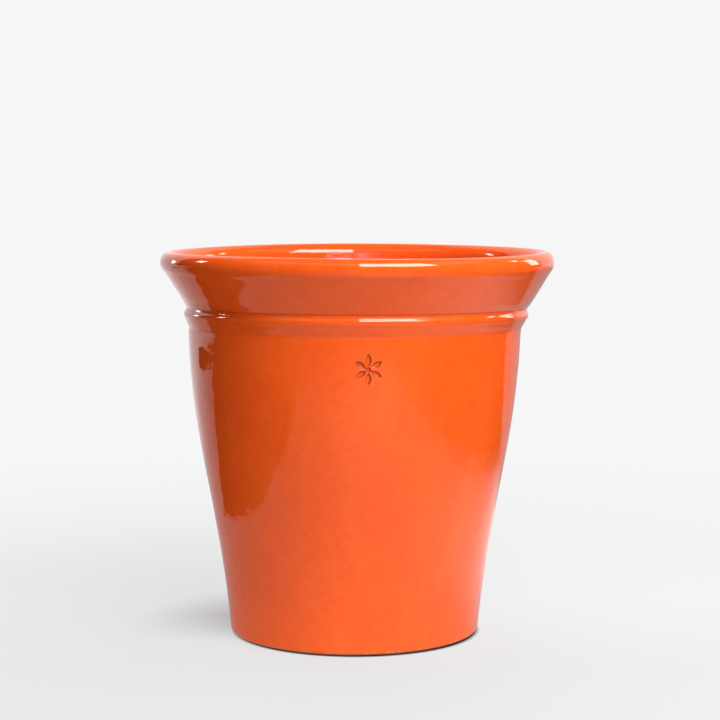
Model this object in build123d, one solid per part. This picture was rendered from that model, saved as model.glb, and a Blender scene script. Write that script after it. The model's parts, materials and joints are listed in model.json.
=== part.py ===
from build123d import *
import os

# Glazed hand-thrown terracotta pot, 12-inch nominal. Millimetres.
# +Z is up. The origin is the centre of the foot, on the plane that the pot stands on.
# Front is -Y: the maker's stamp sits a little to the right of it.

# Driving dimensions, all measured over the finished, glazed surface
height = 300.0
foot_radius = 97.8            # outer edge of the wall, just above the bevelled foot
wall_thickness = 10.5
floor_thickness = 12.0
collar_thickness = 9.5
rim_radius = 153.4            # widest point of the rolled rim
lip_radius = 147.3            # crest of the rolled rim
glaze_thickness = 0.6

# Foot: a low ring set in from the edge, with notches that let drained water out
foot_ring_outer = 93.5
foot_ring_inner = 80.0
foot_ring_height = 1.5
foot_bevel = 2.4
notch_width = 12.0
notch_count = 3
notch_start_angle = 90.0
drain_hole_radius = 12.0
bare_hole_margin = 3.0        # unglazed clay round the mouth of the drain hole
bevel_glazed_share = 0.7      # how far down the foot's bevel the glaze reaches

# Wall: slightly upright at the foot and again under the ledge, steeper between
wall_top_height = 241.0
wall_top_radius = 129.9
wall_curve = [(103.0, 50.0), (111.3, 100.0), (120.4, 150.0), (126.8, 195.0)]
floor_corner_radius = 14.0

# Ledge: a flare that ends in a bead, with a groove between the bead and the collar
bead_radius = 134.5
bead_height = 250.8
bead_half_height = 2.6
bead_sag = 1.1                # how far the bead's lower edge lies inside its widest point
flare_run = 0.40              # slope of the flare where it meets the bead
flare_rise = 1.0
groove_radius = 133.2
groove_height = 256.0

# Collar and rolled rim
collar_start_radius = 134.2
collar_start_height = 258.2
collar_end_radius = 150.2
collar_end_height = 284.3
rim_widest_height = 291.0
rim_under_radius = 152.5
rim_under_height = 287.4
rim_inner_width = 8.0         # from the lip's crest in to the end of its inner curve
rim_inner_drop = 12.0
collar_inner_share = 0.58     # how far up the collar its inner face stays straight
shoulder_height = 243.0       # where the inner wall starts to turn out to the collar
seat_reach = 20.0             # the collar section sits on a sloping seat, lowest inside
seat_drop = 8.0

# Maker's stamp: six petals round a dot
stamp_angle = 4.7             # degrees to the right of the front
stamp_height = 219.0
stamp_wall_lean = 4.0         # degrees that the wall faces downwards there
petal_count = 6
petal_start = 2.6
petal_length = 8.2
petal_half_width = 1.7
dot_radius = 1.5
stamp_depth = 1.8

floor_top = foot_ring_height + floor_thickness
glaze_line = foot_ring_height + foot_bevel * (1 - bevel_glazed_share)
wide = 2 * rim_radius         # well clear of the pot on every side
beyond = 5.0                  # how far cutting shapes run past the surface that they cut


def inner_collar_point(share):
    """The point on the collar's inner face square across from one that share of the way up its outside."""
    run = collar_end_radius - collar_start_radius
    rise = collar_end_height - collar_start_height
    slant = (run**2 + rise**2) ** 0.5
    radius = collar_start_radius + share * run - collar_thickness * rise / slant
    level = collar_start_height + share * rise + collar_thickness * run / slant
    return (radius, level)


def foot_outline(depth):
    bevel_top = (foot_radius - depth, foot_ring_height + foot_bevel)
    bevel_bottom = (foot_radius - depth - foot_bevel, foot_ring_height)
    under = Polyline(
        (drain_hole_radius, foot_ring_height),
        (foot_ring_inner, foot_ring_height),
        (foot_ring_inner, 0),
        (foot_ring_outer, 0),
        (foot_ring_outer, foot_ring_height),
        bevel_bottom,
    )
    bevel = TangentArc(bevel_bottom, bevel_top, tangent=(1, 0))
    return [under, bevel]


def outer_outline(depth):
    wall = Spline(
        (foot_radius - depth, foot_ring_height + foot_bevel),
        *[(radius - depth, level) for radius, level in wall_curve],
        (wall_top_radius - depth, wall_top_height),
    )
    bead_bottom = (bead_radius - depth - bead_sag, bead_height - bead_half_height)
    bead_top = (groove_radius - depth, bead_height + bead_half_height)
    flare = TangentArc(bead_bottom, wall @ 1, tangent=(-flare_run, -flare_rise))
    bead = ThreePointArc(bead_bottom, (bead_radius - depth, bead_height), bead_top)
    collar_start = (collar_start_radius - depth, collar_start_height)
    collar_end = (collar_end_radius - depth, collar_end_height)
    groove = ThreePointArc(bead_top, (groove_radius - depth, groove_height), collar_start)
    collar = Line(collar_start, collar_end)
    rim_under_middle = (rim_under_radius - depth, rim_under_height)
    rim_under = ThreePointArc(collar_end, rim_under_middle, (rim_radius - depth, rim_widest_height))
    rim_top = EllipticalCenterArc(
        (lip_radius, rim_widest_height),
        rim_radius - lip_radius - depth,
        height - rim_widest_height - depth,
        start_angle=0,
        arc_size=90,
    )
    return [wall, flare, bead, groove, collar, rim_under, rim_top]


def inner_outline(depth):
    collar_top_radius, collar_top_height = inner_collar_point(collar_inner_share)
    collar_foot_radius, collar_foot_height = inner_collar_point(0)
    collar_top = (collar_top_radius + depth, collar_top_height)
    collar_foot = (collar_foot_radius + depth, collar_foot_height)
    rim_inner = EllipticalCenterArc(
        (lip_radius, height - rim_inner_drop),
        rim_inner_width - depth,
        rim_inner_drop - depth,
        start_angle=90,
        arc_size=90,
    )
    lip_edge = Line(rim_inner @ 1, collar_top)
    collar = Line(collar_top, collar_foot)
    inner_wall = [(radius - wall_thickness + depth, level) for radius, level in reversed(wall_curve)]
    shoulder_end = (wall_top_radius - wall_thickness + depth, shoulder_height)
    shoulder = TangentArc(collar_foot, shoulder_end, tangent=collar % 1)
    floor_corner = (foot_radius - wall_thickness + depth, floor_top - depth)
    wall = Spline(shoulder_end, *inner_wall, floor_corner)
    floor = Line(floor_corner, (drain_hole_radius, floor_top - depth))
    hole = Line(floor @ 1, (drain_hole_radius, foot_ring_height))
    return [rim_inner, lip_edge, collar, shoulder, wall, floor, hole]


def half_section(depth):
    """
    The pot cut by a plane through its axis: radius along X, height along Y.

    Depth is how far below the glazed surface the outline runs, measured level on the
    walls and upright on the lip and the floor.
    """
    section = make_face(foot_outline(depth) + outer_outline(depth) + inner_outline(depth))
    corner = section.vertices().sort_by_distance((foot_radius - wall_thickness + depth, floor_top - depth))[0]
    return fillet(corner, floor_corner_radius)


def turned(section):
    """A solid of revolution about +Z from a half section."""
    return revolve(Plane.XZ * section, Axis.Z, 360)


def rectangle(radius_from, radius_to, height_from, height_to):
    size = (radius_to - radius_from, height_to - height_from)
    return Pos(radius_from, height_from) * Rectangle(*size, align=(Align.MIN, Align.MIN))


def outside_of_crest():
    """Everything on the outer side of a line that runs down the middle of the wall."""
    return make_face(
        Polyline(
            (lip_radius, height + beyond),
            (lip_radius, rim_widest_height),
            (groove_radius - collar_thickness / 2, groove_height),
            (wall_top_radius - wall_thickness / 2, wall_top_height),
            (foot_radius - wall_thickness / 2, floor_top),
            (foot_radius - wall_thickness / 2, -beyond),
            (wide, -beyond),
            (wide, height + beyond),
            close=True,
        )
    )


def above_seat():
    """Everything above the sloping seat that carries the collar section."""
    return make_face(
        Polyline(
            (0, groove_height - seat_drop),
            (groove_radius - seat_reach, groove_height - seat_drop),
            (groove_radius, groove_height),
            (wide, groove_height),
            (wide, height + beyond),
            (0, height + beyond),
            close=True,
        )
    )


def clay_section():
    """The pot without its glaze; the foot and the drain hole's mouth are bare to the full size."""
    under_glaze = half_section(glaze_thickness)
    bare_foot = rectangle(0, wide, -beyond, glaze_line)
    bare_hole = rectangle(0, drain_hole_radius + bare_hole_margin, -beyond, floor_top + beyond)
    return under_glaze + (pot_section & (bare_foot + bare_hole))


def petal(grown):
    """A lens on the X axis, larger all round by grown."""
    near = (petal_start - grown, 0)
    far = (petal_start + petal_length + grown, 0)
    middle = petal_start + petal_length / 2
    half_width = petal_half_width + grown
    return make_face(
        [ThreePointArc(near, (middle, half_width), far), ThreePointArc(near, (middle, -half_width), far)]
    )


def stamp_sketch(grown):
    petals = [Rot(0, 0, 360 * i / petal_count + 90) * petal(grown) for i in range(petal_count)]
    return Sketch() + petals + Circle(dot_radius + grown)


def stamp_tool(grown, depth):
    """The stamp's shape, pressed square into the wall to a depth below its surface."""
    wall_face = Plane(
        origin=(0, -stamp_wall_radius, stamp_height),
        x_dir=(1, 0, 0),
        z_dir=Vector(0, -1, 0).rotate(Axis.X, stamp_wall_lean),
    )
    tool = extrude(wall_face * stamp_sketch(grown), amount=beyond)
    tool += extrude(wall_face * stamp_sketch(grown), amount=-depth)
    return Rot(0, 0, stamp_angle) * tool


def water_notches():
    notch = Box(wide, notch_width, foot_ring_height, align=(Align.MIN, Align.CENTER, Align.MIN))
    angles = [notch_start_angle + 360 * i / notch_count for i in range(notch_count)]
    return [Rot(0, 0, angle) * notch for angle in angles]


def stamp_radius():
    """The wall's outer radius at the height of the stamp's middle."""
    level = Line((0, stamp_height), (wide, stamp_height))
    crossings = pot_section & level
    return max(vertex.X for vertex in crossings.vertices())


pot_section = half_section(0)
stamp_wall_radius = stamp_radius()
clay = clay_section()
glaze = pot_section - clay

pot_body = turned(clay - above_seat())
collar = turned(clay & above_seat())
glaze_outside = turned(glaze & outside_of_crest())
glaze_inside = turned(glaze - outside_of_crest())

# The stamp is pressed into the clay, and the glaze follows it down
pressed_clay = stamp_tool(glaze_thickness, stamp_depth + glaze_thickness)
glaze_outside += pot_body & pressed_clay
glaze_outside -= stamp_tool(0, stamp_depth)
pot_body -= pressed_clay
pot_body -= water_notches()

parts = {
    "pot_body": pot_body,
    "rim_collar": collar,
    "glaze_outside": glaze_outside,
    "glaze_inside": glaze_inside,
}
os.makedirs("parts", exist_ok=True)
for name, shape in parts.items():
    export_step(shape, f"parts/{name}.step")
    print(name, len(shape.solids()), round(shape.volume), shape.bounding_box().size)
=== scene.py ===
import json
import math

import bpy
import numpy as np
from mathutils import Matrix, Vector


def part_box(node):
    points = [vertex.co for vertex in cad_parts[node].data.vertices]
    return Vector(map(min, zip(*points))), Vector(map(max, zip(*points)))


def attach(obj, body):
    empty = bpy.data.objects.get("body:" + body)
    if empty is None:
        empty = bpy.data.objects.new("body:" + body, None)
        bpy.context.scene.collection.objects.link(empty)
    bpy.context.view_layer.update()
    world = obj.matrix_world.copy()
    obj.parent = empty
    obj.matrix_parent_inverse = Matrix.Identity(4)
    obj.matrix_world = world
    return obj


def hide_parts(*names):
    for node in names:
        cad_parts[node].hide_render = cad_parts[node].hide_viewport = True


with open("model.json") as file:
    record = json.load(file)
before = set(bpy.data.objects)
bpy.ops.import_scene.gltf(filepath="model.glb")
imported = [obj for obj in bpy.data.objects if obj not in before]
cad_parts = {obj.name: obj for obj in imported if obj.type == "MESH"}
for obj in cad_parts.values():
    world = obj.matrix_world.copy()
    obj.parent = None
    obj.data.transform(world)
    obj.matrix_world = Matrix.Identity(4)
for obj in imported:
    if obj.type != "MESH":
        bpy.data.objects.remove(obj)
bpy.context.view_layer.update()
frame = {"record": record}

# A glazed terracotta pot on a pale studio floor. It stands on z = 0 round the Z axis, and its
# front is -Y. Its outlines are in millimetres; MM turns them into metres in the meshes.

outside_low, outside_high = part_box("glaze_outside")
inside_low, inside_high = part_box("glaze_inside")
drain = next(mount for mount in frame["record"]["mounts"] if mount["name"] == "drain_hole")

height = 300.0
MM = outside_high[2] / height
rim_radius = outside_high[0] / MM
lip_radius = inside_high[0] / MM
glaze_line = outside_low[2] / MM
hole_radius = drain["dims"]["r_mm"]
glaze_thickness = 0.6
floor_top = inside_low[2] / MM + glaze_thickness
wall_thickness = 10.5

# Outside, from the foot up: (radius, height) of the wall, flare, bead, groove, collar and rim
wall_points = [(97.8, 3.9), (103.0, 50.0), (111.3, 100.0), (120.4, 150.0), (126.8, 195.0), (129.9, 241.0)]
wall_curve_order = 5
flare_top = (133.4, 248.2)
flare_slope = (-0.40, -1.0)
bead = [flare_top, (134.5, 250.9), (133.1, 254.2)]
groove = [(133.1, 254.2), (132.8, 256.5)]
groove_height = 256.0
collar_foot = (133.75, 257.5)
collar_top = (150.2, 284.3)
rim_widest_height = 291.0
rim_under = [collar_top, (152.5, 287.4), (rim_radius, rim_widest_height)]

# Inside, from the lip down
lip_inner_width = 8.0
lip_inner_drop = 12.0
inner_collar_top = (135.3, 278.2)
inner_collar_foot = (126.1, 263.1)
shoulder_height = 243.0
seam_height_inside = 250.0
floor_corner_radius = 14.0
bare_hole_margin = 3.0

# Foot and drain hole, in bare clay
foot_ring_outer = 93.5
foot_ring_inner = 80.0
foot_ring_height = 1.5
foot_ring_chamfer = 0.3
foot_bevel = 2.4
hole_edge_radius = 0.6
bevel_centre = (wall_points[0][0] - foot_bevel, foot_ring_height + foot_bevel)
glazed_bevel_angle = -math.degrees(math.asin((bevel_centre[1] - glaze_line) / foot_bevel))

# How far the glaze rounds the corners off: more in the cove under the rim, less in the groove
corner_softness = 0.55
local_softness = [(collar_top[1] - 0.3, 11.0, 1.7), (groove[1][1], 4.0, 0.3)]  # height, reach, softness

# Stamp: six petals round a dot, a little to the right of the front
stamp_angle = math.radians(-90 + 4.7)
stamp_height = 219.0
stamp_wall_radius = 127.0
stamp_reach = 12.0
stamp_depth = 1.8
stamp_edge = 1.0
petal_count = 6
petal_middle = 6.7
petal_half_length = 4.1
petal_half_width = 1.7
dot_radius = 1.5

# The clay gives way behind the stamp, so that it stays under the glaze
dent_depth = 2.0
dent_reach_up = 22.0
dent_reach_round = 0.17
dent_edge = (0.05, 0.4)

# Hand-made unevenness. A pair of heights says where a change sets in and where it is complete.
broad_swell = 0.10
hand_swell = 0.05
oval_swell = 0.35
three_sided_swell = 0.2
waves_at_ends = 0.35
waves_start = (12.0, 40.0)
waves_fade = (205.0, 236.0)
waves_faded_by = 0.6
oval_start = (0.0, 60.0)
ledge_height = 251.0
ledge_reach = 34.0
ledge_front_rise = 2.0
ledge_right_rise = -0.6
rim_start = (278.0, 296.0)
rim_oval_rise = 0.35
rim_three_sided_rise = 0.25

# The body, ledge, collar and rim were joined a little off one another's axes: (height, shift to +X)
sideways_shifts = [
    (200.0, -1.2),
    (236.0, -1.0),
    (250.0, 0.1),
    (262.0, 1.4),
    (284.0, 1.5),
    (292.0, 1.0),
    (300.0, 0.9),
]

# Where the glaze pools in the groove, with painted shade in its crease, and where it is worn at its lower
# edge
pool_and_shade_height = groove[1][1] + 0.3
pool_and_shade_reach = 1.3
worn_reach = 2.6

# Mesh steps: how far apart columns and rows lie. A zone is (height where it starts, step).
outline_step = 0.1
stamp_column_step = 0.28
column_step = 2.5
column_radius = 125.0
outside_zones = [
    (0.0, 0.8),
    (14.0, 3.4),
    (stamp_height - stamp_reach, 0.30),
    (stamp_height + stamp_reach, 3.4),
    (236.0, 1.0),
    (245.0, 0.4),
    (261.0, 1.0),
    (286.0, 0.55),
]
inside_zones = [(0.0, 2.0), (floor_top + floor_corner_radius + 2, 4.0), (236.0, 1.4), (284.0, 0.6)]
body_outside_step = 2.4
body_inside_step = 3.0
collar_outside_step = 1.6
collar_inside_step = 1.8

rng = np.random.default_rng(11)


# ---------- outlines: lists of (radius, height) ----------

def line(start, end, steps):
    share = np.linspace(0, 1, steps)[:, None]
    return np.array(start) * (1 - share) + np.array(end) * share


def arc(points, steps):
    """The circular arc through three points."""
    (ax, ay), (bx, by), (cx, cy) = points
    divisor = 2 * (ax * (by - cy) + bx * (cy - ay) + cx * (ay - by))
    a_squared, b_squared, c_squared = ax**2 + ay**2, bx**2 + by**2, cx**2 + cy**2
    centre_x = (a_squared * (by - cy) + b_squared * (cy - ay) + c_squared * (ay - by)) / divisor
    centre_y = (a_squared * (cx - bx) + b_squared * (ax - cx) + c_squared * (bx - ax)) / divisor
    radius = math.hypot(ax - centre_x, ay - centre_y)
    turns = np.unwrap([math.atan2(y - centre_y, x - centre_x) for x, y in points])
    return ellipse((centre_x, centre_y), radius, radius, *np.degrees(turns[[0, 2]]), steps)


def ellipse(centre, width, rise, start, end, steps):
    angles = np.radians(np.linspace(start, end, steps))
    return np.column_stack([centre[0] + width * np.cos(angles), centre[1] + rise * np.sin(angles)])


def tangent_arc(start, tangent, end, steps):
    """The circular arc that leaves start along a tangent and ends at end."""
    start, end = np.array(start), np.array(end)
    heading = np.array(tangent) / math.hypot(*tangent)
    chord = end - start
    across = np.array([-heading[1], heading[0]])
    side = math.copysign(1, chord @ across)
    turn = 2 * math.atan2(abs(chord @ across), chord @ heading)
    radius = math.hypot(*chord) / (2 * math.sin(turn / 2))
    turns = np.linspace(0, turn, steps)[:, None]
    return start + radius * (np.sin(turns) * heading + (1 - np.cos(turns)) * side * across)


def wall_radius(level):
    """The wall's smooth taper: one curve through its few driving points."""
    radii, heights = zip(*wall_points)
    return np.polyval(np.polyfit(heights, radii, wall_curve_order), level)


def outer_outline():
    """The glazed outside, from the glaze line on the foot's bevel up to the lip's crest."""
    levels = np.linspace(bevel_centre[1], wall_points[-1][1], 200)
    rim_size = (rim_radius - lip_radius, height - rim_widest_height)
    return np.vstack([
        ellipse(bevel_centre, foot_bevel, foot_bevel, glazed_bevel_angle, 0, 12)[:-1],
        np.column_stack([wall_radius(levels), levels]),
        tangent_arc(flare_top, flare_slope, wall_points[-1], 20)[::-1],
        arc(bead, 24),
        line(*groove, 8),
        line(collar_foot, collar_top, 40),
        arc(rim_under, 16),
        ellipse((lip_radius, rim_widest_height), *rim_size, 0, 90, 40),
    ])


def inner_outline():
    """The glazed inside, from the lip's crest down to the drain hole."""
    lip_centre = (lip_radius, height - lip_inner_drop)
    lip = ellipse(lip_centre, lip_inner_width, lip_inner_drop, 90, 180, 40)
    corner_top = floor_top + floor_corner_radius
    levels = np.linspace(shoulder_height, corner_top, 160)
    corner_centre = (wall_radius(corner_top) - wall_thickness - floor_corner_radius, corner_top)
    corner = ellipse(corner_centre, floor_corner_radius, floor_corner_radius, 0, -90, 30)
    return np.vstack([
        lip,
        line(lip[-1], inner_collar_top, 10),
        line(inner_collar_top, inner_collar_foot, 20),
        line(inner_collar_foot, (wall_radius(shoulder_height) - wall_thickness, shoulder_height), 20),
        np.column_stack([wall_radius(levels) - wall_thickness, levels]),
        corner,
        line(corner[-1], (hole_radius + bare_hole_margin, floor_top), 60),
    ])


def foot_underside(bevel_foot):
    """Bare clay, from the foot of the bevel under the pot and up through the drain hole."""
    ring_outer, ring_inner = foot_ring_outer - foot_ring_chamfer, foot_ring_inner + foot_ring_chamfer
    hole_edge = hole_radius + hole_edge_radius
    lower_edge, upper_edge = foot_ring_height + hole_edge_radius, floor_top - hole_edge_radius
    edge = (hole_edge_radius, hole_edge_radius)
    return np.vstack([
        line(bevel_foot, (foot_ring_outer, foot_ring_height), 4)[1:],
        line((foot_ring_outer, foot_ring_height), (ring_outer, 0.0), 4)[1:],
        line((ring_outer, 0.0), (ring_inner, 0.0), 8)[1:],
        line((ring_inner, 0.0), (foot_ring_inner, foot_ring_height), 4)[1:],
        line((foot_ring_inner, foot_ring_height), (hole_edge, foot_ring_height), 30)[1:],
        ellipse((hole_edge, lower_edge), *edge, -90, -180, 6)[1:],
        line((hole_radius, lower_edge), (hole_radius, upper_edge), 8)[1:],
        ellipse((hole_edge, upper_edge), *edge, 180, 90, 6)[1:],
        line((hole_edge, floor_top), (hole_radius + bare_hole_margin, floor_top), 5)[1:],
    ])


def lengths_along(outline):
    return np.concatenate([[0], np.cumsum(np.hypot(*np.diff(outline, axis=0).T))])


def at_lengths(outline, lengths):
    along = lengths_along(outline)
    return np.column_stack([np.interp(lengths, along, outline[:, i]) for i in range(2)])


def softened(outline, reach):
    """Rounds every corner as glaze does, by averaging over a reach along the outline."""
    total = lengths_along(outline)[-1]
    fine = at_lengths(outline, np.arange(0, total, outline_step))
    half = int(4 * reach / outline_step)
    weights = np.exp(-0.5 * (np.arange(-half, half + 1) * outline_step / reach) ** 2)
    weights /= weights.sum()
    before = 2 * fine[0] - fine[half:0:-1]
    after = 2 * fine[-1] - fine[-2:-half - 2:-1]
    padded = np.vstack([before, fine, after])
    return np.column_stack([np.convolve(padded[:, i], weights, "valid") for i in range(2)])


def spaced(outline, zones):
    """Rows along an outline, with the step of the zone that each height is in."""
    along = lengths_along(outline)
    starts, steps = zip(*zones)
    density = 1 / np.array(steps)[np.searchsorted(starts, outline[:, 1], side="right") - 1]
    middle = (density[1:] + density[:-1]) / 2
    count = np.concatenate([[0], np.cumsum(middle * np.diff(along))])
    rows = int(round(count[-1]))
    return at_lengths(outline, np.interp(np.linspace(0, count[-1], rows + 1), count, along))


def evenly_spaced(outline, spacing):
    total = lengths_along(outline)[-1]
    count = max(int(total / spacing), 2)
    return at_lengths(outline, np.linspace(0, total, count))


def closeness(value, centre, reach):
    """1 at the centre, falling smoothly to 0 a reach away."""
    share = np.clip(np.abs(value - centre) / reach, 0, 1)
    return 0.5 + 0.5 * np.cos(np.pi * share)


def ramp(value, start, end):
    share = np.clip((value - start) / (end - start), 0, 1)
    return share * share * (3 - 2 * share)


def glazed_outline():
    """The glazed surface from the glaze line over the lip to the drain hole, with soft corners."""
    sharp = np.vstack([outer_outline(), inner_outline()[1:]])
    outline = softened(sharp, corner_softness)
    for centre, reach, softness in local_softness:
        share = closeness(outline[:, 1], centre, reach)[:, None]
        outline = outline * (1 - share) + softened(sharp, softness) * share
    return outline


def below(outline, depth):
    """An outline moved square to itself into the clay."""
    step = np.gradient(outline, axis=0)
    step = step / np.hypot(step[:, 0], step[:, 1])[:, None]
    return outline - np.column_stack([step[:, 1], -step[:, 0]]) * depth


# ---------- hand-made unevenness ----------

def make_waves(count, shortest, longest, mean_radius=120.0):
    """Seeded ripples round and up the pot, whose lengths lie between two sizes in millimetres."""
    waves = []
    for _ in range(count):
        length = math.exp(rng.uniform(math.log(shortest), math.log(longest)))
        heading = rng.uniform(0, math.pi)
        turns = round(2 * math.pi * mean_radius / length * math.cos(heading))
        climb = 2 * math.pi / length * math.sin(heading)
        waves.append((turns, climb, rng.uniform(0, 2 * math.pi), length))
    return waves


broad_waves = make_waves(count=26, shortest=55, longest=160)
hand_waves = make_waves(count=60, shortest=16, longest=48)


def rippled(waves, angle, along):
    """The sum of the ripples at a place, with longer ones higher, scaled to about 1."""
    total = 0
    for turns, climb, phase, length in waves:
        total = total + np.sin(turns * angle + climb * along + phase) * length
    return total / sum(length for turns, climb, phase, length in waves) * math.sqrt(len(waves))


def from_stamp(angle):
    """The angle round the pot from the stamp's middle, between half a turn back and half a turn on."""
    return (angle - stamp_angle + math.pi) % (2 * math.pi) - math.pi


def stamp_mask(radius, angle, level):
    """How far into the pressed shape a point lies: 1 inside, 0 outside, soft at the edge."""
    across, up = from_stamp(angle) * radius, level - stamp_height
    inside = ramp(dot_radius - np.hypot(across, up), -stamp_edge / 2, stamp_edge / 2)
    for petal in range(petal_count):
        turn = 2 * math.pi * petal / petal_count + math.pi / 2
        along = across * math.cos(turn) + up * math.sin(turn)
        beside = -across * math.sin(turn) + up * math.cos(turn)
        width = petal_half_width * (1 - ((along - petal_middle) / petal_half_length) ** 2)
        inside = np.maximum(inside, ramp(width - np.abs(beside), -stamp_edge / 2, stamp_edge / 2))
    return inside


def swell(angle, level):
    """How far the surface stands out from a true round: ripples, mostly on the wall, and an oval."""
    wall = ramp(level, *waves_start) * (1 - ramp(level, *waves_fade) * waves_faded_by)
    waves = broad_swell * rippled(broad_waves, angle, level) + hand_swell * rippled(hand_waves, angle, level)
    oval = oval_swell * np.cos(2 * angle + 0.6) + three_sided_swell * np.cos(3 * angle - 1.1)
    return waves * (waves_at_ends + (1 - waves_at_ends) * wall) + oval * ramp(level, *oval_start)


def rise(angle, level):
    """How much higher than level the ledge and the rim run."""
    ledge_tilt = -ledge_front_rise * np.sin(angle) + ledge_right_rise * np.cos(angle)
    rim_wave = rim_oval_rise * np.cos(2 * (angle + 1.9)) + rim_three_sided_rise * np.cos(3 * angle + 0.4)
    return closeness(level, ledge_height, ledge_reach) * ledge_tilt + ramp(level, *rim_start) * rim_wave


def shaped(radius, angle, level):
    """World positions of points on a true round pot, moved to where the hand-made one has them."""
    radius = radius + swell(angle, level)
    x = radius * np.cos(angle) + np.interp(level, *zip(*sideways_shifts))
    y = radius * np.sin(angle)
    return np.stack([x, y, level + rise(angle, level)], axis=-1) * MM


# ---------- meshes ----------

def columns():
    """Angles round the pot, closer together across the stamp."""
    fine = stamp_reach / stamp_wall_radius
    across_stamp = np.arange(-fine, fine, stamp_column_step / stamp_wall_radius)
    rest = 2 * math.pi - 2 * fine
    count = int(rest * column_radius / column_step)
    return stamp_angle + np.concatenate([across_stamp, fine + rest * np.arange(count) / count])


def grid_normals(grid):
    """Unit normals of a grid of rows and columns that closes round the pot."""
    round_step = np.roll(grid, -1, axis=1) - np.roll(grid, 1, axis=1)
    normal = np.cross(round_step, np.gradient(grid, axis=0))
    return normal / np.linalg.norm(normal, axis=-1, keepdims=True)


def grid_mesh(name, grid, closed_section=False, normals=None, marks=None):
    """A mesh from a grid that closes round the pot, and along its section too when that is closed."""
    row_count, column_count, _ = grid.shape
    last = row_count if closed_section else row_count - 1
    r, c = np.meshgrid(np.arange(last), np.arange(column_count), indexing="ij")
    next_r, next_c = (r + 1) % row_count, (c + 1) % column_count
    corners = ((r, c), (r, next_c), (next_r, next_c), (next_r, c))
    faces = np.stack([row * column_count + column for row, column in corners], axis=-1)
    mesh = bpy.data.meshes.new(name)
    mesh.from_pydata(grid.reshape(-1, 3).tolist(), [], faces.reshape(-1, 4).tolist())
    mesh.update()
    mesh.shade_smooth()
    for mark, values in (marks or {}).items():
        attribute = mesh.attributes.new(mark, "FLOAT", "POINT")
        values = np.broadcast_to(values, (row_count, column_count))
        attribute.data.foreach_set("value", values.astype(np.float32).reshape(-1))
    if normals is not None:
        mesh.normals_split_custom_set_from_vertices(normals.reshape(-1, 3).tolist())
    return linked(name, mesh)


def linked(name, data):
    thing = bpy.data.objects.new(name, data)
    bpy.context.scene.collection.objects.link(thing)
    return thing


def glaze_coats(outline, crest):
    """The two coats, which share the lip's crest and its normals so that no seam shows there."""
    outside = spaced(outline[: crest + 1], outside_zones)
    inside = spaced(outline[crest:], inside_zones)
    outside_radius, outside_level = outside[:, :1], outside[:, 1:]
    pressed = stamp_mask(outside_radius, angles, outside_level)
    outside_grid = shaped(outside_radius - stamp_depth * pressed, angles, outside_level)
    inside_grid = shaped(inside[:, :1], angles, inside[:, 1:])
    normals = grid_normals(np.vstack([outside_grid, inside_grid[1:]]))
    outside_marks = {
        "pressed": pressed,
        # The ring round the stamp's edge carries painted shade in the glaze's colour
        "painted_stamp_edge_shade": 4 * pressed * (1 - pressed),
        # The groove mark darkens the glaze for pooled glaze and, partly, as painted shade in the crease
        "pooled_and_shaded": closeness(outside_level, pool_and_shade_height, pool_and_shade_reach),
        "worn": closeness(outside_level, glaze_line, worn_reach),
    }
    inside_marks = dict.fromkeys(outside_marks, 0.0)
    rows = len(outside)
    outer_coat = grid_mesh("outer_glaze_coat", outside_grid, False, normals[:rows], outside_marks)
    inner_coat = grid_mesh("inner_glaze_coat", inside_grid, False, normals[rows - 1:], inside_marks)
    return outer_coat, inner_coat


def clay_sections(outline, crest):
    """The body below the seam and the collar above it, as closed solids under the glaze."""
    outside = below(outline[: crest + 1], glaze_thickness)
    inside = below(outline[crest:], glaze_thickness)
    seam_inside = int(np.argmin(np.abs(inside[:, 1] - seam_height_inside)))
    body_outside = evenly_spaced(outside[outside[:, 1] < groove_height][::-1], body_outside_step)
    body_inside = evenly_spaced(inside[seam_inside:][::-1], body_inside_step)
    bevel = ellipse(bevel_centre, foot_bevel, foot_bevel, glazed_bevel_angle, -90, 10)
    body_section = np.vstack([body_outside, bevel, foot_underside(bevel[-1]), body_inside])
    collar_outside = evenly_spaced(outside[outside[:, 1] >= groove_height], collar_outside_step)
    collar_inside = evenly_spaced(inside[: seam_inside + 1], collar_inside_step)
    collar_section = np.vstack([collar_outside, collar_inside])
    radius, level = body_section[:, :1], body_section[:, 1:]
    beside_stamp = closeness(from_stamp(angles), 0, dent_reach_round)
    dent = dent_depth * ramp(closeness(level, stamp_height, dent_reach_up) * beside_stamp, *dent_edge)
    dent[len(body_outside):] = 0
    body = grid_mesh("body", shaped(radius - dent, angles, level)[::-1], True)
    collar = grid_mesh("collar", shaped(collar_section[:, :1], angles, collar_section[:, 1:]), True)
    return body, collar


angles = columns()
surface = glazed_outline()
surface_crest = int(np.argmax(surface[:, 1]))
glaze_outside, glaze_inside = glaze_coats(surface, surface_crest)
pot_body, rim_collar = clay_sections(surface, surface_crest)


# ---------- materials ----------

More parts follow.
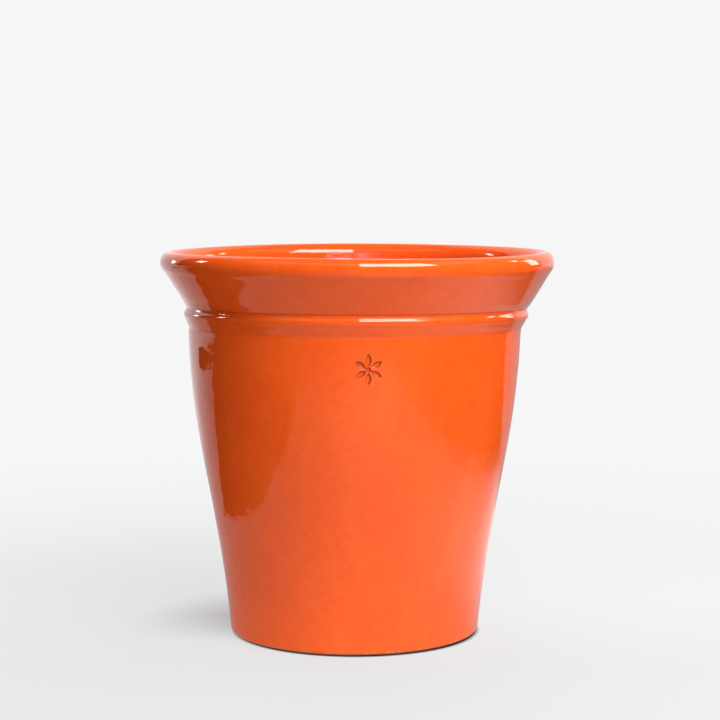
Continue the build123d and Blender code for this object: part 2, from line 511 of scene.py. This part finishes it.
class Nodes:
    """A material's node tree, with short names for the nodes used here."""

    def __init__(self, name):
        self.material = bpy.data.materials.new(name)
        self.material.use_nodes = True
        self.tree = self.material.node_tree
        self.tree.nodes.clear()

    def add(self, kind, inputs=None, **settings):
        node = self.tree.nodes.new(kind)
        for key, value in settings.items():
            setattr(node, key, value)
        for key, value in (inputs or {}).items():
            if isinstance(value, bpy.types.NodeSocket):
                self.tree.links.new(value, node.inputs[key])
            else:
                node.inputs[key].default_value = value
        return node

    def place(self, scale=(1, 1, 1)):
        coordinates = self.add("ShaderNodeTexCoord").outputs["Object"]
        return self.add("ShaderNodeMapping", {"Vector": coordinates, "Scale": scale}).outputs["Vector"]

    def across_and_along(self):
        """The distances to +X and to the back, +Y."""
        place = self.add("ShaderNodeSeparateXYZ", {0: self.place()})
        return place.outputs["X"], place.outputs["Y"]

    def distance(self):
        """The distance from the object's own origin."""
        return self.add("ShaderNodeVectorMath", {0: self.place()}, operation="LENGTH").outputs["Value"]

    def noise(self, scale, detail=2.0, roughness=0.5, stretch=(1, 1, 1)):
        """Noise from 0 to 1, with about as many features per metre as its scale."""
        inputs = {"Vector": self.place(stretch), "Scale": scale, "Detail": detail, "Roughness": roughness}
        return self.add("ShaderNodeTexNoise", inputs).outputs["Fac"]

    def mark(self, name):
        """A value that the mesh holds at each of its points."""
        return self.add("ShaderNodeAttribute", attribute_name=name).outputs["Fac"]

    def fit(self, value, low, high, to_low=0.0, to_high=1.0, kind="LINEAR"):
        """A value moved from one range to another, and held at its ends."""
        inputs = {"Value": value, "From Min": low, "From Max": high, "To Min": to_low, "To Max": to_high}
        return self.add("ShaderNodeMapRange", inputs, interpolation_type=kind).outputs["Result"]

    def calculate(self, operation, first, second=0.0):
        return self.add("ShaderNodeMath", {0: first, 1: second}, operation=operation).outputs[0]

    def product(self, *values):
        result = values[0]
        for value in values[1:]:
            result = self.calculate("MULTIPLY", result, value)
        return result

    def mix(self, share, first, second):
        """Two colours mixed; the mix node's sockets 0, 6 and 7 are its share and its colours."""
        inputs = {0: share, 6: first, 7: second}
        return self.add("ShaderNodeMix", inputs, data_type="RGBA").outputs[2]

    def bump(self, height_value, distance, normal=None):
        inputs = {"Height": height_value, "Distance": distance}
        if normal is not None:
            inputs["Normal"] = normal
        return self.add("ShaderNodeBump", inputs).outputs["Normal"]

    def finish(self, shader):
        self.add("ShaderNodeOutputMaterial", {"Surface": shader.outputs[0]})
        return self.material

    def glow(self, strength, colour=(1, 1, 1)):
        return self.finish(self.add("ShaderNodeEmission", {"Color": (*colour, 1), "Strength": strength}))


def glaze():
    """Glossy orange glaze: clouded, streaked and mottled, with painted shade round the stamp's edges and in
    the groove, where pooled glaze darkens it too, worn at the foot.
    """
    nodes = Nodes("orange_glaze")
    base = (0.80, 0.096, 0.0115, 1)
    deep = (0.73, 0.073, 0.0086, 1)
    thin = (0.83, 0.150, 0.027, 1)
    mottled = (0.62, 0.056, 0.007, 1)
    # Painted shade for the stamp's edges
    painted_edge_shade = (0.10, 0.014, 0.005, 1)
    # Darker glaze for the groove: pooled glaze and painted shade in its crease
    pooled_and_shaded = (0.45, 0.045, 0.006, 1)
    bare_chip = (0.58, 0.26, 0.12, 1)
    speck = (0.35, 0.05, 0.012, 1)
    clouds = nodes.fit(nodes.noise(14, 3), 0.35, 0.65)
    streaks = nodes.fit(nodes.noise(60, 3, stretch=(1, 1, 0.18)), 0.45, 0.75)
    mottle = nodes.fit(nodes.noise(170, 4, 0.6), 0.45, 0.72)
    chips = nodes.fit(nodes.noise(260, 2), 0.56, 0.66)
    specks = nodes.fit(nodes.noise(900, 1), 0.74, 0.80)
    colour = base
    for share, tint in (
        (nodes.product(clouds, 0.55), deep),
        (nodes.product(streaks, 0.22), thin),
        (nodes.product(mottle, 0.30), mottled),
        (nodes.product(nodes.mark("pressed"), 0.25), thin),
        # Painted shade round the stamp's edges
        (nodes.product(nodes.mark("painted_stamp_edge_shade"), 0.85), painted_edge_shade),
        # Pooled glaze and painted shade in the groove's crease
        (nodes.product(nodes.mark("pooled_and_shaded"), 0.4), pooled_and_shaded),
        (nodes.product(chips, nodes.mark("worn")), bare_chip),
        (nodes.product(specks, 0.35), speck),
    ):
        colour = nodes.mix(share, colour, tint)
    gloss = nodes.fit(nodes.noise(35, 4), 0.3, 0.7, 0.035, 0.075)
    broad = nodes.bump(nodes.noise(42, 2), 0.00016)
    ripple = nodes.bump(nodes.noise(95, 1.5, stretch=(1, 1, 1.5)), 0.00011, broad)
    fine = nodes.bump(nodes.noise(340, 2), 0.00002, ripple)
    inputs = {"Base Color": colour, "Roughness": gloss, "Normal": fine, "IOR": 1.55}
    return nodes.finish(nodes.add("ShaderNodeBsdfPrincipled", inputs))


def clay():
    """Bare fired clay: patchy, gritty and darker where it has taken up water."""
    nodes = Nodes("fired_clay")
    dark, light = (0.36, 0.11, 0.045, 1), (0.50, 0.18, 0.08, 1)
    grit_colour = (0.68, 0.36, 0.2, 1)
    damp_colour = (0.3, 0.1, 0.045, 1)
    grit = nodes.fit(nodes.noise(700, 3), 0.56, 0.72)
    damp = nodes.fit(nodes.noise(9, 2), 0.45, 0.7)
    colour = nodes.mix(nodes.fit(nodes.noise(30, 4), 0.35, 0.65), dark, light)
    colour = nodes.mix(nodes.product(grit, 0.5), colour, grit_colour)
    colour = nodes.mix(nodes.product(damp, 0.35), colour, damp_colour)
    rough = nodes.fit(nodes.noise(120, 4), 0.3, 0.7, 0.78, 0.95)
    surface_grain = nodes.bump(nodes.noise(420, 5), 0.0004)
    inputs = {"Base Color": colour, "Roughness": rough, "Normal": surface_grain}
    return nodes.finish(nodes.add("ShaderNodeBsdfPrincipled", inputs))


glaze_finish = glaze()
clay_finish = clay()
for piece, node, finish, slot in (
    (glaze_outside, "glaze_outside", glaze_finish, "orange_glaze"),
    (glaze_inside, "glaze_inside", glaze_finish, "orange_glaze"),
    (pot_body, "pot_body", clay_finish, "fired_clay"),
    (rim_collar, "rim_collar", clay_finish, "fired_clay"),
):
    piece.data.materials.append(finish)
    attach(piece, "root")
    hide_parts(node)


# ---------- studio: the glaze mirrors cards that the camera doesn't see ----------

# Sizes are in metres and angles in degrees. Azimuth 0 is the front and azimuth 90 is +X.
pot_middle = Vector((0, 0, 0.15))
white = (1.0, 1.0, 1.0)
warm_white = (1.0, 0.99, 0.97)
strip_white = (1.0, 0.98, 0.95)
glint_pink = (1.0, 0.62, 0.95)
black = (0.0, 0.0, 0.0)
backdrop_level = 0.925
floor_colour = (0.108, 0.114, 0.115, 1)
floor_fill = 0.66
floor_half_width = 7.0

# The floor's layers lie a fraction of a millimetre apart, so that none cuts through another
under_pot_height = -0.0002
paper_height = -0.0004
bounce_height = -0.0008
under_pot_radius = 0.097

# The lit paper that the pot stands on, as the glaze mirrors it. All round it the room is dark.
# The first six points, its left edge, follow a reflection in the photograph: a scratch script
# worked out where on the floor that reflection's edge lies.
paper_outline = [
    (-0.334, 0.0, 0),
    (-0.325, -0.15, 0),
    (-0.329, -0.27, 0),
    (-0.350, -0.36, 0),
    (-0.391, -0.474, 0),
    (-0.460, -0.611, 0),
    (-1.6, -2.2, 0),
    (2.3, -2.2, 0),
    (0.62, -0.60, 0),
    (0.52, -0.30, 0),
    (0.52, 0.42, 0),
    (1.0, 0.70, 0),
    (5.0, 3.0, 0),
    (5.0, 7.0, 0),
    (-5.0, 7.0, 0),
    (-5.0, 1.68, 0),
    (-0.334, 0.19, 0),
]
dark_box_outline = [(-1.00, 0.90, 0.02), (-1.34, 0.32, 0.02), (-1.34, 0.32, 0.075), (-1.00, 0.90, 0.075)]
patch_outline = [(-0.035, -0.06, 0.325), (0.045, -0.06, 0.325), (0.045, -0.06, 0.39), (-0.035, -0.06, 0.39)]

# Lamps and windows that only the glaze mirrors: name, azimuths, elevations, strength
mirrored_lamp_distance = 2.5
mirrored_lamps = [
    ("left_lamp", (-108, -101), (21, 29), 13.0),
    ("left_back_lamp", (-134, -128), (7, 14), 10.0),
    ("right_lamp", (108, 114), (28, 33), 12.0),
    ("right_window", (116, 127), (7, 27), 6.0),
    ("strip_spill", (-70, 95), (40, 52), 0.8),
]

# Lamps that light the pot and aren't mirrored: name, azimuth, elevation, distance, width, depth, power
softboxes = [
    ("key", 54, 43, 2.2, 1.3, 1.1, 25),
    ("front_fill", 14, 6, 2.4, 1.6, 0.4, 14),
    ("left_fill", -105, 15, 2.4, 1.0, 1.0, 7),
    ("overhead", 60, 72, 2.0, 2.0, 2.0, 26),
    ("rear_fill", -150, 22, 2.2, 1.4, 1.0, 14),
]
room_light = 0.06

# The camera stands in front of the pot, above its rim, and looks down on it
camera_place = (0.00335, -1.591, 0.364)
camera_looks_down = 5.38
camera_lens_mm = 101.7
camera_sensor_mm = 36.0


def floor_material():
    """A pale floor that glows as if lit from all round, to thin its shadow, with painted shadow left of the
    pot and under its foot, and that fades into the backdrop.
    """
    nodes = Nodes("studio_floor")
    backdrop_colour = (*white, 1)
    across, along = nodes.across_and_along()
    distance = nodes.distance()
    # Painted shadow: the glow dims where the pot hides the sky, on the pot's left side only
    open_sky = nodes.add("ShaderNodeAmbientOcclusion", {"Distance": 0.09}, samples=8).outputs["AO"]
    beside_left = nodes.product(nodes.fit(across, 0.0, -0.075), nodes.fit(along, -0.045, 0.05))
    painted_shadow = nodes.product(nodes.calculate("SUBTRACT", 1.0, open_sky), beside_left)
    # The glow, less in the painted shadow, painted a little brighter to the back and right, and out under the
    # foot's bevel as a painted contact shadow
    fill_level = nodes.product(
        nodes.calculate("SUBTRACT", 1.0, painted_shadow),
        floor_fill,
        nodes.fit(along, -0.12, 0.10, 0.965, 1.03),
        nodes.fit(across, -0.05, 0.25, 1.0, 1.045, "SMOOTHSTEP"),
        nodes.fit(distance, 0.0945, 0.0985),
    )
    diffuse = nodes.add("ShaderNodeBsdfDiffuse", {"Color": floor_colour})
    fill = nodes.add("ShaderNodeEmission", {"Color": backdrop_colour, "Strength": fill_level})
    near = nodes.add("ShaderNodeAddShader", {0: diffuse.outputs[0], 1: fill.outputs[0]})
    far = nodes.add("ShaderNodeEmission", {"Color": backdrop_colour, "Strength": backdrop_level})
    fade = nodes.fit(distance, 0.15, 1.1, kind="SMOOTHSTEP")
    return nodes.finish(nodes.add("ShaderNodeMixShader", {0: fade, 1: near.outputs[0], 2: far.outputs[0]}))


def paper_material():
    """The paper's light: brighter to the right and far left, dimmer in front and close to the pot."""
    nodes = Nodes("lit_paper")
    across, along = nodes.across_and_along()
    right = nodes.product(
        nodes.fit(across, 0.05, 0.2, 0, 0.55),
        nodes.fit(across, 0.49, 0.30),
        nodes.fit(along, -0.25, 0.0),
        nodes.fit(along, 0.55, 0.4),
    )
    past_left_edge = nodes.calculate("ADD", along, nodes.product(across, 0.32))
    far_left = nodes.product(nodes.fit(past_left_edge, 0.1, 0.8, 0.0, 0.5), nodes.fit(across, -0.1, -0.5))
    level = nodes.calculate("ADD", nodes.calculate("ADD", 0.45, far_left), right)
    right_edge = nodes.fit(across, 0.50, 0.40, 0.2, 1.0)
    right_edge = nodes.calculate("MAXIMUM", right_edge, nodes.fit(along, 0.40, 0.50))
    front = nodes.product(
        nodes.fit(across, -0.2, 0.05, 0.65, 1.15),
        nodes.fit(nodes.calculate("ABSOLUTE", across), 1.1, 0.2),
        nodes.fit(along, -2.2, -0.6),
    )
    front = nodes.calculate("MAXIMUM", front, nodes.fit(along, -0.45, -0.2))
    shade_of_pot = nodes.fit(nodes.distance(), 0.10, 0.32, 0.68, 1.0)
    return nodes.glow(nodes.product(level, right_edge, front, shade_of_pot))


def bounce_material():
    """The light that the paper throws back on the pot: strongest close by."""
    nodes = Nodes("paper_bounce")
    return nodes.glow(nodes.fit(nodes.distance(), 0.12, 0.5, 1.12, 0.72))


def patch_material():
    """Small pinkish glints that only the inside of the far wall mirrors."""
    nodes = Nodes("mottled_patch")
    across, _ = nodes.across_and_along()
    glints = nodes.fit(nodes.noise(62, 3, 0.6), 0.42, 0.62, 0.0, 8.0)
    return nodes.glow(nodes.product(glints, nodes.fit(across, -0.03, 0.01, 0.25, 1.0)), glint_pink)


def plain_glow(name, colour, strength):
    return Nodes(name).glow(strength, colour)


def direction(azimuth, elevation):
    a, e = math.radians(azimuth), math.radians(elevation)
    return Vector((math.sin(a) * math.cos(e), -math.cos(a) * math.cos(e), math.sin(e)))


def staged(name, points, faces, material, **seen_by):
    """A stage mesh that only the named kinds of rays see: camera, diffuse or glossy."""
    mesh = bpy.data.meshes.new(name)
    mesh.from_pydata([tuple(point) for point in points], [], faces)
    mesh.materials.append(material)
    thing = linked(name, mesh)
    thing.visible_camera = seen_by.get("camera", False)
    thing.visible_diffuse = seen_by.get("diffuse", False)
    thing.visible_glossy = seen_by.get("glossy", False)
    thing.visible_shadow = False
    thing.visible_transmission = False
    return thing


def flat_card(name, corners, material, **seen_by):
    return staged(name, corners, [tuple(range(len(corners)))], material, **seen_by)


def curved_card(name, azimuths, elevations, distance, material, steps, **seen_by):
    """A card on a sphere round the pot, between two azimuths and two elevations."""
    points = [
        pot_middle + direction(azimuth, elevation) * distance
        for azimuth in np.linspace(*azimuths, steps + 1)
        for elevation in np.linspace(*elevations, steps + 1)
    ]
    starts = [column * (steps + 1) + row for column in range(steps) for row in range(steps)]
    faces = [(a, a + 1, a + steps + 2, a + steps + 1) for a in starts]
    return staged(name, points, faces, material, **seen_by)


def add_room():
    """The pale dome that the camera sees, and the dark one that the glaze mirrors instead."""
    all_round, top_to_bottom = (0, 360), (-90, 90)
    backdrop = plain_glow("backdrop", white, backdrop_level)
    dark_room = plain_glow("dark_room", black, 0.0)
    curved_card("backdrop_dome", all_round, top_to_bottom, 9.0, backdrop, 48, camera=True)
    curved_card("dark_room", all_round, top_to_bottom, 8.0, dark_room, 48, glossy=True)


def add_floor():
    """The floor for the camera, the paper for the glaze and its bounce for diffuse light."""
    w = floor_half_width
    flat_card("floor", [(-w, -w, 0), (w, -w, 0), (w, w, 0), (-w, w, 0)], floor_material(), camera=True)
    paper = flat_card("lit_paper", paper_outline, paper_material(), glossy=True)
    paper.location.z = paper_height
    bounce = flat_card("paper_bounce", paper_outline, bounce_material(), diffuse=True)
    bounce.location.z = bounce_height
    # A black disc under the foot: a sheet of painted shade that keeps the bounce's glow off the pot's
    # underside and shows black in the glaze
    turns = np.linspace(0, 2 * math.pi, 64, endpoint=False)
    disc = [(under_pot_radius * math.cos(a), under_pot_radius * math.sin(a), under_pot_height) for a in turns]
    flat_card("under_pot", disc, plain_glow("under_pot", black, 0.0), diffuse=True, glossy=True)


def add_cards():
    """What else the glaze mirrors. The strip and the pale wall behind the pot light it as well."""
    strip = plain_glow("strip_light", strip_white, 14.0)
    curved_card("strip_light", (3, 50), (34, 54), 2.0, strip, 8, diffuse=True, glossy=True)
    pale_wall = plain_glow("pale_wall", white, 0.9)
    curved_card("pale_wall", (130, 235), (-4, 60), 3.0, pale_wall, 8, diffuse=True, glossy=True)
    flat_card("dark_box", dark_box_outline, plain_glow("dark_box", black, 0.0), glossy=True)
    flat_card("mottled_patch", patch_outline, patch_material(), glossy=True)
    for name, azimuths, elevations, strength in mirrored_lamps:
        lamp = plain_glow(name, warm_white, strength)
        curved_card(name, azimuths, elevations, mirrored_lamp_distance, lamp, 4, glossy=True)


def add_softbox(name, azimuth, elevation, distance, width, depth, power):
    data = bpy.data.lights.new(name, "AREA")
    data.shape = "RECTANGLE"
    data.size = width
    data.size_y = depth
    data.energy = power
    lamp = linked(name, data)
    lamp.location = pot_middle + direction(azimuth, elevation) * distance
    lamp.rotation_mode = "QUATERNION"
    lamp.rotation_quaternion = (-direction(azimuth, elevation)).to_track_quat("-Z", "Y")
    lamp.visible_camera = False
    lamp.visible_glossy = False


def add_room_light():
    world = bpy.data.worlds.new("studio")
    world.use_nodes = True
    background = world.node_tree.nodes["Background"]
    background.inputs["Color"].default_value = (*white, 1)
    background.inputs["Strength"].default_value = room_light
    bpy.context.scene.world = world


def add_camera():
    data = bpy.data.cameras.new("camera")
    data.lens = camera_lens_mm
    data.sensor_width = camera_sensor_mm
    camera = linked("camera", data)
    camera.location = camera_place
    camera.rotation_euler = (math.radians(90 - camera_looks_down), 0, 0)
    bpy.context.scene.camera = camera


add_room()
add_floor()
add_cards()
for softbox in softboxes:
    add_softbox(*softbox)
add_room_light()
add_camera()
bpy.context.scene.view_settings.view_transform = "Standard"

bpy.context.view_layer.update()
